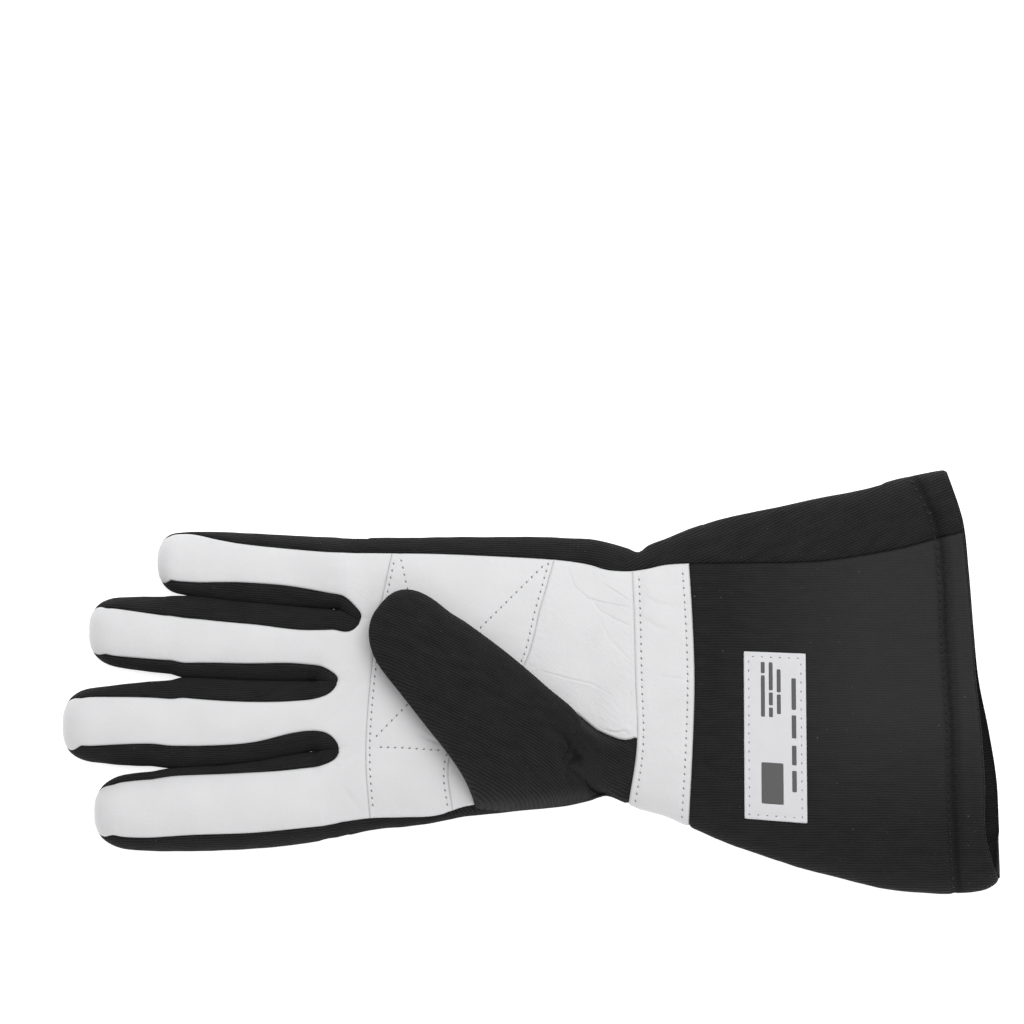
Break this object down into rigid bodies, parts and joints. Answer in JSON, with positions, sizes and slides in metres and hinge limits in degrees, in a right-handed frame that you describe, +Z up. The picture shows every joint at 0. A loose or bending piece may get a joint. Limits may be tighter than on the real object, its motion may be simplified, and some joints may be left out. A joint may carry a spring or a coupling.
{
  "type": "racing glove",
  "caption": "Left-hand gauntlet racing glove lying palm up, black knit with a pale leather palm and the thumb folded across it.",
  "frame": {"origin": "centre of the glove's outline, on the surface it lies on", "axes": "+X from the fingertips to the cuff, +Y to the little-finger side, +Z up out of the palm"},
  "size_m": [0.3239, 0.1462, 0.0316],
  "materials": {
    "knit_black": "matt ribbed knit, two layers",
    "leather_white": "soft grained leather, slightly glossy",
    "label_white": "smooth woven label",
    "thread_black": "satin embroidery thread",
    "thread_red": "satin embroidery thread"
  },
  "bodies": {
    "root": {"back_panel": "knit_black", "gauntlet_palm": "knit_black", "thumb": "knit_black", "fourchette_1": "knit_black", "fourchette_2": "knit_black", "fourchette_3": "knit_black", "wrist_band": "leather_white", "palm_heel": "leather_white", "palm_patch": "leather_white", "palm_leather": "leather_white", "label": "label_white", "badge_border": "thread_black", "badge_field": "thread_red"}
  },
  "joints": []
}
